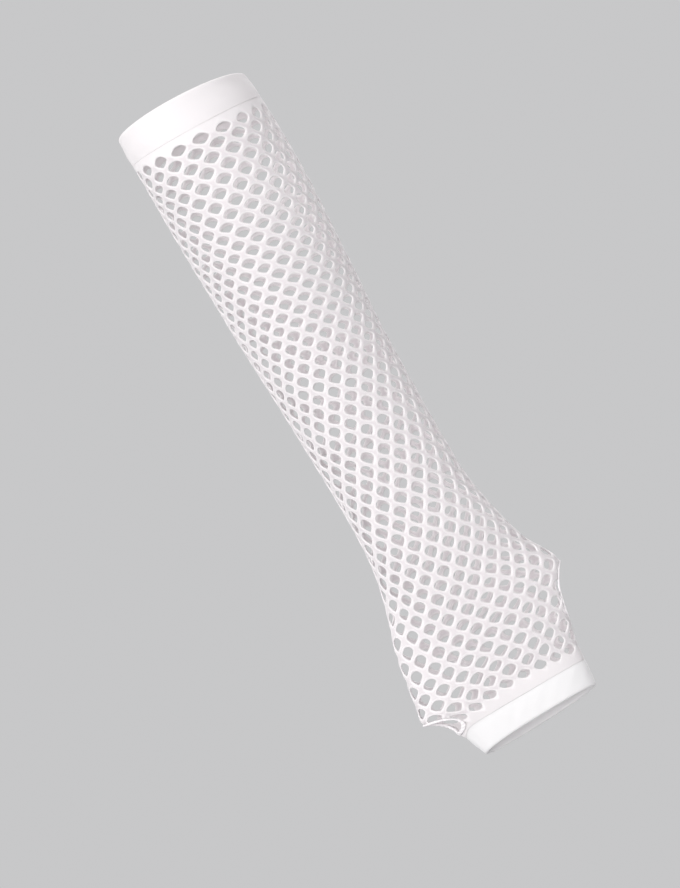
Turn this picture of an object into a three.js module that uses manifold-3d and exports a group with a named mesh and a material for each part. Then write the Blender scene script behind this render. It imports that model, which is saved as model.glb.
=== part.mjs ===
// A long fishnet fingerless glove for the right hand, in the form it has when worn. Millimetres.
// +Z runs up the arm to the elbow, the back of the hand faces -Y and the thumb points to +X.
// The origin is the centre of the elbow opening.
import * as THREE from "three";
import Module from "manifold-3d";

const wasm = await Module();
wasm.setup();

// Driving dimensions. "Down" is the distance below the elbow opening, along the arm.
const ELBOW_JOINT = 13.6;
const FINGER_JOINT = 319.9;
const FINGER_RIM = 333.9;
const JOINT_GAP = 0.3;
const STRAND_GAP = 0.45;
const NET_THICKNESS = 1.2;
const BAND_THICKNESS = 2.2;
const BAND_STANDS_PROUD = 0.4;

// The net: gaps in staggered rows between two plain strips.
const NET_TOP = 15.9;
const NET_BOTTOM = 313.7;
const GAP_COLUMNS = 6;
const GAP_ROWS = 18;
const GAP_WIDTH_SHARE = 0.76;
const GAP_HEIGHT_SHARE = 0.7;
const GAP_ROUNDNESS = 1.35;
const SPLITS = 3;

// The columns of gaps run straight down the forearm, wind toward the thumb over the wrist, and then run
// straight again.
const WIND_FROM = 128;
const WIND_TO = 255;
const WIND_TURNS = 0.117;

// Steps round the bands and round the holes for the thumb and the little finger.
const AROUND = 36;
const LOOP_STEPS = 36;
const STRAND_SIDES = 6;
const ARC_STEPS = 240;

// The glove's cross-sections. left and right are where its edges lie in X. back and palm are how far it
// reaches from its middle plane on the back of the hand and on the palm. square is 2 for an ellipse and more
// for a boxier outline. bow is how much higher a row of knitting stands at the middle of the back than at the
// edges, and slope is its fall toward the thumb for each millimetre across.
const SECTIONS = [
  { down: 0, left: -33.8, right: 32.2, back: 30.2, palm: 30.2, square: 2, bow: 4.9, slope: 0.035 },
  { down: 12, left: -34.2, right: 34.0, back: 30.8, palm: 30.8, square: 2, bow: 1.9, slope: 0.025 },
  { down: 37, left: -34.3, right: 34.9, back: 30.4, palm: 30.4, square: 2, bow: 0.7, slope: 0.06 },
  { down: 62, left: -34.3, right: 34.6, back: 28.8, palm: 28.8, square: 2, bow: 0.6, slope: 0.1 },
  { down: 85, left: -33.8, right: 33.1, back: 26.8, palm: 27.2, square: 2, bow: 0.5, slope: 0.13 },
  { down: 111, left: -33.3, right: 31.4, back: 24.8, palm: 25.6, square: 2, bow: 0.3, slope: 0.085 },
  { down: 133, left: -32.4, right: 29.7, back: 23.4, palm: 24.4, square: 2.05, bow: 0.1, slope: 0.055 },
  { down: 161, left: -31.5, right: 28.8, back: 22.4, palm: 23.4, square: 2.1, bow: 0, slope: 0 },
  { down: 199, left: -30.7, right: 28.3, back: 20.8, palm: 21.8, square: 2.15, bow: -2.1, slope: 0 },
  { down: 217, left: -30.9, right: 28.8, back: 20, palm: 21, square: 2.2, bow: -1.7, slope: 0 },
  { down: 236, left: -32.6, right: 32.1, back: 18.8, palm: 20.2, square: 2.25, bow: -1.4, slope: 0 },
  { down: 255, left: -37.1, right: 37.3, back: 17, palm: 19.4, square: 2.3, bow: -1.4, slope: 0 },
  { down: 273.5, left: -43.0, right: 46.4, back: 15, palm: 18, square: 2.35, bow: -1.2, slope: -0.02 },
  { down: 287, left: -45.3, right: 42.3, back: 13.8, palm: 16.4, square: 2.4, bow: -0.8, slope: -0.045 },
  { down: 301, left: -47.5, right: 36.4, back: 12.9, palm: 14.8, square: 2.4, bow: -0.2, slope: -0.02 },
  { down: 308.8, left: -48.4, right: 34.4, back: 12.3, palm: 13.9, square: 2.4, bow: 0, slope: 0 },
  { down: 314.2, left: -43.2, right: 33.7, back: 11.9, palm: 13.2, square: 2.4, bow: 0.3, slope: 0 },
  { down: 321.2, left: -35.6, right: 32.9, back: 11.3, palm: 12.2, square: 2.4, bow: 0.7, slope: -0.01 },
  { down: 334, left: -29.4, right: 31.2, back: 10.4, palm: 10.9, square: 2.4, bow: 2.1, slope: -0.035 },
];
const SECTION_NAMES = ["left", "right", "back", "palm", "square", "bow", "slope"];

// The two holes at the hand. Each lies on an edge of the glove, thumb at +X and little finger at -X, centred
// on down. It reaches half_length each way along the arm, and back_half and palm_half round the hand from the
// edge. taper makes the end toward the fingers narrower, and strand is the radius of the strand round it.
const HOLES = {
  thumb: {
    side: 1, down: 287.9, half_length: 14.2, back_half: 7.4, palm_half: 10.6, taper: 0.42, strand: 0.55,
  },
  little_finger: {
    side: -1, down: 314.8, half_length: 5.9, back_half: 14.5, palm_half: 8, taper: 0.15, strand: 0.7,
  },
};
const SOLID_MARGIN = 2;

// The finger band's upper edge dips under the little finger's hole.
const DIP_DEPTH = 4.2;
const DIP_TURNS = 0.05;

// The bands' cross-section from the joint to the rim, as shares of the band's height and thickness. The rim
// is the fold of the double layer, so it is round.
const BAND_PROFILE = [
  { along: 0, out: 0.8 },
  { along: 0.06, out: 1 },
  { along: 0.94, out: 1 },
  { along: 1, out: 0.7 },
  { along: 1, out: 0.3 },
  { along: 0.94, out: 0 },
  { along: 0.06, out: 0 },
  { along: 0, out: 0.2 },
];

const sectionCurve = new THREE.CubicInterpolant(
  SECTIONS.map((s) => s.down),
  SECTIONS.flatMap((s) => SECTION_NAMES.map((name) => s[name])),
  SECTION_NAMES.length,
);

// The cross-section at a distance down the arm, with its outline measured from the middle of the back.
function sectionAt(down) {
  const values = sectionCurve.evaluate(down);
  const section = Object.fromEntries(SECTION_NAMES.map((name, k) => [name, values[k]]));
  section.arcs = [0];
  let before = outline(section, 0);
  for (let k = 1; k <= ARC_STEPS; k += 1) {
    const here = outline(section, (2 * Math.PI * k) / ARC_STEPS);
    section.arcs.push(section.arcs[k - 1] + Math.hypot(here.x - before.x, here.y - before.y));
    before = here;
  }
  section.girth = section.arcs[ARC_STEPS];
  return section;
}

const signedPower = (value, power) => Math.sign(value) * Math.abs(value) ** power;

// A point of a section's outline, at an angle round from the middle of the back toward the thumb.
function outline(section, angle) {
  const power = 2 / section.square;
  const depth = Math.cos(angle) > 0 ? section.back : section.palm;
  return {
    x: (section.left + section.right) / 2
      + ((section.right - section.left) / 2) * signedPower(Math.sin(angle), power),
    y: -depth * signedPower(Math.cos(angle), power),
  };
}

// The angle at a share of the way round a section, where equal shares are equal lengths of cloth.
function angleAt(section, turn) {
  const share = turn - Math.floor(turn);
  const wanted = share * section.girth;
  let low = 0;
  let high = ARC_STEPS;
  while (high - low > 1) {
    const middle = (low + high) >> 1;
    if (section.arcs[middle] <= wanted) low = middle;
    else high = middle;
  }
  const step = section.arcs[high] - section.arcs[low];
  return (2 * Math.PI * (low + (wanted - section.arcs[low]) / step)) / ARC_STEPS;
}

// A point of the glove's outer surface.
function surfaceAt(turn, down) {
  const section = sectionAt(down);
  const { x, y } = outline(section, angleAt(section, turn));
  return new THREE.Vector3(x, y, -down);
}

// A point that stands clear of the outer surface by lift, which is negative inside the cloth.
function clothAt(turn, down, lift) {
  const turnStep = 0.004;
  const downStep = 0.5;
  const round = surfaceAt(turn + turnStep, down).sub(surfaceAt(turn - turnStep, down));
  const along = surfaceAt(turn, down + downStep).sub(surfaceAt(turn, down - downStep));
  const outward = along.cross(round).normalize();
  return surfaceAt(turn, down).addScaledVector(outward, lift);
}

// How far down a row of knitting lies at a place round the glove, with its bow and its slope.
function rowDown(turn, down) {
  const section = sectionAt(down);
  const angle = angleAt(section, turn);
  const halfWidth = (section.right - section.left) / 2;
  return down - section.bow * Math.cos(angle) + section.slope * halfWidth * Math.sin(angle);
}

// Where the plain strip of the net meets the finger band.
function fingerJointDown(turn) {
  const away = (turn - Math.floor(turn) - 0.75) / DIP_TURNS;
  return rowDown(turn, FINGER_JOINT) + DIP_DEPTH * Math.exp(-away * away);
}

const windAt = (down) => WIND_TURNS * THREE.MathUtils.smoothstep(down, WIND_FROM, WIND_TO);

// A place on the net as {turn, down}, from its column and its half-row of gaps.
function netPlace(column, row) {
  const down = THREE.MathUtils.lerp(NET_TOP, NET_BOTTOM, row / (GAP_ROWS + 1));
  const turn = column / GAP_COLUMNS + windAt(down);
  return { turn, down: rowDown(turn, down) };
}

// A hole's edge as places on the cloth, grown outward by a distance in millimetres.
function holePlace(hole, angle, grow) {
  const bare = (a) => {
    const towardPalm = Math.sin(a) > 0;
    const half = towardPalm ? hole.palm_half : hole.back_half;
    return new THREE.Vector2(
      half * Math.sin(a) * (1 - hole.taper * Math.cos(a)),
      hole.half_length * Math.cos(a),
    );
  };
  const step = 0.01;
  const along = bare(angle + step).sub(bare(angle - step)).normalize();
  const place = bare(angle).add(new THREE.Vector2(-along.y, along.x).multiplyScalar(grow));
  const down = hole.down + place.y;
  const section = sectionAt(down);
  const edgeTurn = section.arcs[(ARC_STEPS / 4) * (hole.side > 0 ? 1 : 3)] / section.girth;
  return { turn: edgeTurn + (hole.side * place.x) / section.girth, down };
}

// Whether a place on the cloth lies in a hole, or nearer to its edge than margin.
function liesInHole(hole, place, margin) {
  const section = sectionAt(place.down);
  const edgeArc = section.arcs[(ARC_STEPS / 4) * (hole.side > 0 ? 1 : 3)];
  const share = place.turn - Math.floor(place.turn);
  const toPalm = hole.side * (share * section.girth - edgeArc);
  const height = (place.down - hole.down) / (hole.half_length + margin);
  if (Math.abs(height) >= 1) return false;
  const half = (toPalm > 0 ? hole.palm_half : hole.back_half) + margin;
  return Math.abs(toPalm) < half * Math.sqrt(1 - height * height) * (1 - hole.taper * height) + margin / 2;
}

// One layer of cloth: places joined by triangles, which thicken() makes a closed solid.
class Sheet {
  places = [];
  keys = new Map();
  triangles = [];

  // The number of a place on the net. Places that fall together are one.
  corner(column, row) {
    const wrapped = ((column % GAP_COLUMNS) + GAP_COLUMNS) % GAP_COLUMNS;
    const key = `${Math.round(wrapped * 1000) % (GAP_COLUMNS * 1000)} ${Math.round(row * 1000)}`;
    if (!this.keys.has(key)) {
      this.keys.set(key, this.places.length);
      this.places.push(netPlace(wrapped, row));
    }
    return this.keys.get(key);
  }

  face(a, b, c) {
    this.triangles.push([a, b, c]);
  }

  // Joins two rows of corners, where lower has as many corners as upper, or two fewer or two more.
  strip(upper, lower) {
    let u = 0;
    let l = 0;
    while (u < upper.length - 1 || l < lower.length - 1) {
      const upperShare = (u + 1 - (upper.length - 1) / 2);
      const lowerShare = (l + 1 - (lower.length - 1) / 2);
      if (u < upper.length - 1 && (l === lower.length - 1 || upperShare <= lowerShare)) {
        this.face(upper[u], lower[l], upper[u + 1]);
        u += 1;
      } else {
        this.face(upper[u], lower[l], lower[l + 1]);
        l += 1;
      }
    }
  }
}

// The corners of a row across the diamond round a gap, from left to right.
function diamondRow(sheet, column, row, step) {
  const count = 2 * (SPLITS - Math.abs(step));
  const corners = [];
  for (let k = 0; k <= count; k += 1) {
    corners.push(sheet.corner(column + (k - count / 2) / (2 * SPLITS), row + step / SPLITS));
  }
  return corners;
}

function solidDiamond(sheet, column, row, fromStep, toStep) {
  for (let step = fromStep; step < toStep; step += 1) {
    sheet.strip(diamondRow(sheet, column, row, step), diamondRow(sheet, column, row, step + 1));
  }
}

// The corners round a diamond's edge as [column, row] offsets from its middle, clockwise from its top.
function diamondEdge() {
  const edge = [];
  const tips = [[0, -1], [0.5, 0], [0, 1], [-0.5, 0]];
  tips.forEach(([column, row], k) => {
    const [nextColumn, nextRow] = tips[(k + 1) % 4];
    for (let step = 0; step < SPLITS; step += 1) {
      const share = step / SPLITS;
      edge.push([column + (nextColumn - column) * share, row + (nextRow - row) * share]);
    }
  });
  return edge;
}

// The same corners drawn in to the edge of the gap, a rounded diamond.
function gapEdge() {
  return diamondEdge().map(([column, row]) => {
    const across = Math.abs(column) / (GAP_WIDTH_SHARE / 2);
    const along = Math.abs(row) / GAP_HEIGHT_SHARE;
    const reach = (across ** GAP_ROUNDNESS + along ** GAP_ROUNDNESS) ** (-1 / GAP_ROUNDNESS);
    return [column * reach, row * reach];
  });
}

function openDiamond(sheet, column, row) {
  const at = ([c, r]) => sheet.corner(column + c, row + r);
  const outer = diamondEdge().map(at);
  const inner = gapEdge().map(at);
  outer.forEach((corner, k) => {
    const next = (k + 1) % outer.length;
    sheet.face(corner, inner[k], outer[next]);
    sheet.face(outer[next], inner[k], inner[next]);
  });
}

// Whether a gap would reach a hole or its solid margin, so that its diamond stays solid.
function isNearHole(column, row) {
  const places = [...gapEdge(), [0, 0]].map(([c, r]) => netPlace(column + c, row + r));
  return Object.values(HOLES).some((hole) =>
    places.some((place) => liesInHole(hole, place, SOLID_MARGIN)));
}

// The net as one layer. Its first and last rows are joined to a plain strip, which ends at the band.
function netSheet() {
  const sheet = new Sheet();
  for (let row = 1; row <= GAP_ROWS; row += 1) {
    for (let column = 0; column < GAP_COLUMNS; column += 1) {
      const middle = column + (row % 2) / 2;
      if (isNearHole(middle, row)) solidDiamond(sheet, middle, row, -SPLITS, SPLITS);
      else openDiamond(sheet, middle, row);
    }
  }
  for (let column = 0; column < GAP_COLUMNS; column += 1) {
    solidDiamond(sheet, column, 0, 0, SPLITS);
    solidDiamond(sheet, column + ((GAP_ROWS + 1) % 2) / 2, GAP_ROWS + 1, -SPLITS, 0);
  }
  addPlainStrip(sheet, 0, (turn) => rowDown(turn, ELBOW_JOINT) + JOINT_GAP / 2, true);
  addPlainStrip(sheet, GAP_ROWS + 1, (turn) => fingerJointDown(turn) - JOINT_GAP / 2, false);
  return sheet;
}

// Joins the net's first or last row to the line where it meets the band.
function addPlainStrip(sheet, row, jointDown, above) {
  const steps = GAP_COLUMNS * 2 * SPLITS;
  const inner = [];
  const outer = [];
  for (let k = 0; k < steps; k += 1) {
    const column = k / (2 * SPLITS);
    inner.push(sheet.corner(column, row));
    const { turn } = netPlace(column, row);
    outer.push(sheet.places.length);
    sheet.places.push({ turn, down: jointDown(turn) });
  }
  inner.push(inner[0]);
  outer.push(outer[0]);
  if (above) sheet.strip(outer, inner);
  else sheet.strip(inner, outer);
}

// A closed solid from one layer: its outer face, its inner face and a wall along each free edge.
function thicken(sheet, thickness) {
  const count = sheet.places.length;
  const outer = sheet.places.map(({ turn, down }) => clothAt(turn, down, 0));
  const inner = sheet.places.map(({ turn, down }) => clothAt(turn, down, -thickness));
  const faces = [];
  const open = new Map();
  for (const [a, b, c] of sheet.triangles) {
    faces.push([a, b, c], [count + a, count + c, count + b]);
    for (const [from, to] of [[a, b], [b, c], [c, a]]) {
      if (!open.delete(`${to} ${from}`)) open.set(`${from} ${to}`, [from, to]);
    }
  }
  for (const [from, to] of open.values()) {
    faces.push([from, count + from, to], [to, count + from, count + to]);
  }
  return solidFrom([...outer, ...inner], faces);
}

// A solid from its points and triangles. Triangles that all face inward are turned over.
function solidFrom(points, faces) {
  const make = (triangles) => new wasm.Manifold(new wasm.Mesh({
    numProp: 3,
    vertProperties: new Float32Array(points.flatMap((p) => [p.x, p.y, p.z])),
    triVerts: new Uint32Array(triangles.flat()),
  }));
  const solid = make(faces);
  return solid.volume() > 0 ? solid : make(faces.map(([a, b, c]) => [a, c, b]));
}

function geometryFrom(solid) {
  const mesh = solid.getMesh();
  const geometry = new THREE.BufferGeometry();
  geometry.setAttribute("position", new THREE.BufferAttribute(mesh.vertProperties, 3));
  geometry.setIndex(new THREE.BufferAttribute(mesh.triVerts, 1));
  geometry.computeVertexNormals();
  return geometry;
}

// A ring of closed rows of points, the last joined to the first, as a closed solid.
function ringFaces(rows, columns) {
  const faces = [];
  for (let row = 0; row < rows; row += 1) {
    for (let column = 0; column < columns; column += 1) {
      const nextRow = (row + 1) % rows;
      const nextColumn = (column + 1) % columns;
      const a = row * columns + column;
      const b = nextRow * columns + column;
      const c = nextRow * columns + nextColumn;
      const d = row * columns + nextColumn;
      faces.push([a, b, c], [a, c, d]);
    }
  }
  return faces;
}

// A band of double cloth between its joint to the net and its folded rim.
function bandSolid(jointDown, rimDown) {
  const points = BAND_PROFILE.flatMap(({ along, out }) =>
    Array.from({ length: AROUND }, (_, k) => {
      const turn = k / AROUND;
      const down = THREE.MathUtils.lerp(jointDown(turn), rimDown(turn), along);
      return clothAt(turn, down, BAND_STANDS_PROUD + (out - 1) * BAND_THICKNESS);
    }));
  return solidFrom(points, ringFaces(BAND_PROFILE.length, AROUND));
}

// What is cut out of the net at a hole: a plug whose sides stand square to the cloth.
function holePlug(hole) {
  const reachOut = 4;
  const reachIn = 4;
  const grow = hole.strand + STRAND_GAP;
  const places = Array.from({ length: LOOP_STEPS }, (_, k) =>
    holePlace(hole, (2 * Math.PI * k) / LOOP_STEPS, grow));
  const outside = places.map(({ turn, down }) => clothAt(turn, down, reachOut));
  const inside = places.map(({ turn, down }) => clothAt(turn, down, -reachIn));
  const middle = surfaceAt(hole.side > 0 ? 0.25 : 0.75, hole.down);
  const outMiddle = middle.clone().add(new THREE.Vector3(hole.side * 2 * reachOut, 0, -reachOut));
  const inMiddle = middle.clone().add(new THREE.Vector3(-hole.side * 3 * reachIn, 0, reachIn));
  const points = [...outside, ...inside, outMiddle, inMiddle];
  const faces = [];
  for (let k = 0; k < LOOP_STEPS; k += 1) {
    const next = (k + 1) % LOOP_STEPS;
    faces.push([k, next, LOOP_STEPS + next], [k, LOOP_STEPS + next, LOOP_STEPS + k]);
    faces.push([2 * LOOP_STEPS, next, k], [2 * LOOP_STEPS + 1, LOOP_STEPS + k, LOOP_STEPS + next]);
  }
  return solidFrom(points, faces);
}

// The strand round a hole, level with the middle of the cloth's thickness.
function strandSolid(hole) {
  const points = [];
  for (let side = 0; side < STRAND_SIDES; side += 1) {
    const around = (2 * Math.PI * side) / STRAND_SIDES;
    for (let k = 0; k < LOOP_STEPS; k += 1) {
      const angle = (2 * Math.PI * k) / LOOP_STEPS;
      const { turn, down } = holePlace(hole, angle, hole.strand * Math.cos(around));
      points.push(clothAt(turn, down, hole.strand * Math.sin(around) - NET_THICKNESS / 2));
    }
  }
  return solidFrom(points, ringFaces(STRAND_SIDES, LOOP_STEPS));
}

function netGeometry() {
  const wall = thicken(netSheet(), NET_THICKNESS);
  const cut = Object.values(HOLES).reduce((left, hole) => left.subtract(holePlug(hole)), wall);
  return geometryFrom(cut);
}

function elbowBandGeometry() {
  const jointDown = (turn) => rowDown(turn, ELBOW_JOINT) - JOINT_GAP / 2;
  return geometryFrom(bandSolid(jointDown, (turn) => rowDown(turn, 0)));
}

function fingerBandGeometry() {
  const jointDown = (turn) => fingerJointDown(turn) + JOINT_GAP / 2;
  return geometryFrom(bandSolid(jointDown, (turn) => rowDown(turn, FINGER_RIM)));
}

function yarn(color, roughness) {
  return new THREE.MeshStandardMaterial({ color, roughness, metalness: 0 });
}

function piece(name, geometry, material) {
  const mesh = new THREE.Mesh(geometry, material);
  mesh.name = name;
  return mesh;
}

const glove = new THREE.Group();
glove.name = "fishnet_glove";
glove.add(
  piece("elbow_band", elbowBandGeometry(), yarn(0xf7f4f6, 0.9)),
  piece("net_sleeve", netGeometry(), yarn(0xf4f0f3, 0.85)),
  piece("finger_band", fingerBandGeometry(), yarn(0xf7f4f6, 0.9)),
  piece("thumb_hole_edge", geometryFrom(strandSolid(HOLES.thumb)), yarn(0xfaf8f9, 0.8)),
  piece("little_finger_hole_edge", geometryFrom(strandSolid(HOLES.little_finger)), yarn(0xfaf8f9, 0.8)),
);

export default glove;
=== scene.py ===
"""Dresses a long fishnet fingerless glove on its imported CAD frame.

The glove is one knitted net from the elbow to the fingers, with a folded band at each end and a bound hole
for the thumb and for the little finger. Its cross-sections, joints and hand holes repeat the CAD source, and
the tables of the net are the scene's own. Tables and sizes are in millimetres, meshes in metres. "Down" is
the distance below the elbow opening, and "turn" is the share of the way round the glove, from the middle of
the back of the hand toward the thumb.
"""

import logging
import math
from dataclasses import dataclass, field
from enum import Enum
from typing import ClassVar

import bpy
import numpy as np
from mathutils import Matrix, Vector
from numpy.typing import NDArray


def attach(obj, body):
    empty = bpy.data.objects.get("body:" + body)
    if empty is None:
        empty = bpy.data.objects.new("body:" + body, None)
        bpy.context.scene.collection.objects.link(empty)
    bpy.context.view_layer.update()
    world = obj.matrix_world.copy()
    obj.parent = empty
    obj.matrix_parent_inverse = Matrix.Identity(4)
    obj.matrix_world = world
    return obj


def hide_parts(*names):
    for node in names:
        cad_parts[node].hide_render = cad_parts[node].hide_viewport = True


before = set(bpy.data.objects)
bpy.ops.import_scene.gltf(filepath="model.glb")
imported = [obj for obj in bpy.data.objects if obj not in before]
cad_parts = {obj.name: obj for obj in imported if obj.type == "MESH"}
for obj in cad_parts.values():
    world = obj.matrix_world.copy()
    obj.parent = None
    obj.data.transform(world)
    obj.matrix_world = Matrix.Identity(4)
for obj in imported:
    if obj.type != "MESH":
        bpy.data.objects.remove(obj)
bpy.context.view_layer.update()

Floats = NDArray[np.float64]
Ints = NDArray[np.int64]
Flags = NDArray[np.bool_]
Colour = tuple[float, float, float, float]
Place = tuple[float, float, float]
Socket = bpy.types.NodeSocket

log = logging.getLogger("glove")

MM = 0.001
WHOLE_TURN = 2 * math.pi
CLOTH_UV = "cloth"

# The visible net's thickness, and the room left between it and a band.
NET_THICKNESS = 0.9
JOINT_GAP = 0.05

# Plain knit: upright rows of stitches round the glove, and the height of one stitch.
KNIT_WALES = 234
KNIT_COURSE = 0.7


class Edge(Enum):
    """The two edges of the glove where a hand hole lies, as the sign of X."""

    THUMB = 1
    LITTLE_FINGER = -1


class End(Enum):
    """The net's two ends, where the bands begin, as the sign of the way there along "down"."""

    ELBOW = -1
    FINGERS = 1


class Sum(Enum):
    """The arithmetic that the materials use, by Blender's names."""

    ADD = "ADD"
    SUBTRACT = "SUBTRACT"
    MULTIPLY = "MULTIPLY"
    SINE = "SINE"
    FRACTION = "FRACT"
    SIZE_OF = "ABSOLUTE"


@dataclass(frozen=True)
class SmoothTable:
    """A short table that is read smoothly between its rows.

    Attributes:
        keys: What each row is found by, in rising order.
        values: One value for each row, or one for each row and column.
    """

    keys: Floats
    values: Floats

    def at(self, key: Floats) -> Floats:
        """Reads the table at any keys.

        Formula: a cubic Hermite curve through the rows, whose slope at a row is the mean of the slopes of
        the two stretches beside it. A key outside the table takes the end row.

        Args:
            key: Where to read it, of any shape.

        Returns:
            The values, in the shape of key with the table's columns after it.
        """
        inside = np.clip(key, self.keys[0], self.keys[-1])
        row = np.clip(np.searchsorted(self.keys, inside, side="right") - 1, 0, len(self.keys) - 2)
        gaps = np.diff(self.keys)
        columns = self.values.reshape(len(self.keys), -1)
        stretch = np.diff(columns, axis=0) / gaps[:, None]
        slope = np.vstack([stretch[:1], (stretch[:-1] + stretch[1:]) / 2, stretch[-1:]])
        share = ((inside - self.keys[row]) / gaps[row])[..., None]
        start = (1 + 2 * share) * (1 - share) ** 2 * columns[row]
        end = (3 - 2 * share) * share**2 * columns[row + 1]
        bend = share * (1 - share) ** 2 * slope[row] - share**2 * (1 - share) * slope[row + 1]
        result = start + end + gaps[row][..., None] * bend
        return result if self.values.ndim > 1 else result[..., 0]


def smooth_table(rows: list[tuple[float, ...]]) -> SmoothTable:
    """Makes a table from its rows, whose first number is the key."""
    table = np.array(rows, dtype=float)
    return SmoothTable(table[:, 0], table[:, 1] if table.shape[1] == 2 else table[:, 1:])


# Columns: down, left, right, back, palm, square, bow, slope. left and right are the edges in X, back and palm
# the depths, square the outline's exponent, and bow and slope the shape of a row of knitting.
SECTIONS = smooth_table([
    (0, -33.8, 32.2, 30.2, 30.2, 2, 4.9, 0.035),
    (12, -34.2, 34.0, 30.8, 30.8, 2, 1.9, 0.025),
    (37, -34.3, 34.9, 30.4, 30.4, 2, 0.7, 0.06),
    (62, -34.3, 34.6, 28.8, 28.8, 2, 0.6, 0.1),
    (85, -33.8, 33.1, 26.8, 27.2, 2, 0.5, 0.13),
    (111, -33.3, 31.4, 24.8, 25.6, 2, 0.3, 0.085),
    (133, -32.4, 29.7, 23.4, 24.4, 2.05, 0.1, 0.055),
    (161, -31.5, 28.8, 22.4, 23.4, 2.1, 0, 0),
    (199, -30.7, 28.3, 20.8, 21.8, 2.15, -2.1, 0),
    (217, -30.9, 28.8, 20, 21, 2.2, -1.7, 0),
    (236, -32.6, 32.1, 18.8, 20.2, 2.25, -1.4, 0),
    (255, -37.1, 37.3, 17, 19.4, 2.3, -1.4, 0),
    (273.5, -43.0, 46.4, 15, 18, 2.35, -1.2, -0.02),
    (287, -45.3, 42.3, 13.8, 16.4, 2.4, -0.8, -0.045),
    (301, -47.5, 36.4, 12.9, 14.8, 2.4, -0.2, -0.02),
    (308.8, -48.4, 34.4, 12.3, 13.9, 2.4, 0, 0),
    (314.2, -43.2, 33.7, 11.9, 13.2, 2.4, 0.3, 0),
    (321.2, -35.6, 32.9, 11.3, 12.2, 2.4, 0.7, -0.01),
    (334, -29.4, 31.2, 10.4, 10.9, 2.4, 2.1, -0.035),
])

# Columns: half-row of holes, down at the middle of its row.
HOLE_ROWS = smooth_table([
    (-1, 13.9), (0, 19.4), (1, 24.2), (7, 56.8), (14, 91.5), (21, 125.9), (28, 163.4), (35, 202.6),
    (38, 220.8), (42, 243.9), (49, 280.8), (55, 311.0), (56, 315.8),
])

# Columns: down, columns of holes by which the net has wound toward the thumb.
WINDING = smooth_table([
    (0, 0.03), (40, -0.03), (62, -0.02), (85, 0.04), (115, 0.13), (140, 0.32), (160, 0.72), (185, 1.27),
    (210, 1.77), (235, 2.09), (255, 2.15), (270, 2.08), (280, 2.14), (293, 2.45), (303, 2.62), (314, 2.69),
])

# Columns: down, how much further apart the columns lie at the middle of the back than evenly.
SPREAD = smooth_table([
    (19, 0.07), (40, 0.01), (62, -0.03), (110, -0.03), (170, -0.04), (198, 0.015), (222, 0.05), (242, 0),
    (264, -0.08), (283, -0.065), (300, 0.01), (312, -0.06),
])

# Columns: down, then for the little finger's edge and for the thumb's, the columns by which the net is drawn
# toward the middle of the back there, for the same two, the millimetres by which its rows droop there, and
# again for the two, the millimetres by which they droop halfway to that edge.
EDGES = smooth_table([
    (27, 0.2, 0.5, 1, 3, 1, 0),
    (48, 0.3, 0.45, -2, 2.5, 0.3, 0),
    (68, 0.5, 0.45, -2, 2, 0.5, 0),
    (90, 0.52, 0.35, -1.2, 1.2, 0.8, -0.3),
    (108, 0.55, 0.25, -0.5, 0.5, 0.5, 0),
    (135, 0.45, 0.2, 0, 0, 0, 0.2),
    (172, 0.25, 0.2, -1.5, 0, -0.3, 0),
    (196, 0.15, 0.28, -2.3, 0, -0.8, 0),
    (216, 0.05, 0.35, -3, 0, -0.5, 0.4),
    (250, 0.35, 0.35, -3, -3, -0.6, 0.3),
    (265, 0.3, 0.25, -2.5, -4, -0.2, 0),
    (283, 0.15, 0.45, -1, -1.5, 0.6, 0),
    (297, -0.1, 0.45, 1, 0.5, 1.3, 0),
    (306, -0.2, 0.45, 1.5, 1, 2, 0),
])

# Columns: down, a hole's width and its height as shares of its cell, and how far toward the elbow from its
# middle its widest place lies, in half-rows.
HOLE_SHARES = smooth_table([
    (19, 0.68, 0.45, 0.02),
    (32, 0.67, 0.49, 0.02),
    (50, 0.67, 0.51, 0.02),
    (90, 0.65, 0.45, 0.03),
    (140, 0.64, 0.47, 0.03),
    (180, 0.62, 0.51, 0.03),
    (215, 0.64, 0.53, 0.04),
    (248, 0.61, 0.51, 0.05),
    (297, 0.65, 0.49, 0.05),
    (311, 0.68, 0.46, 0.03),
])


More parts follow.
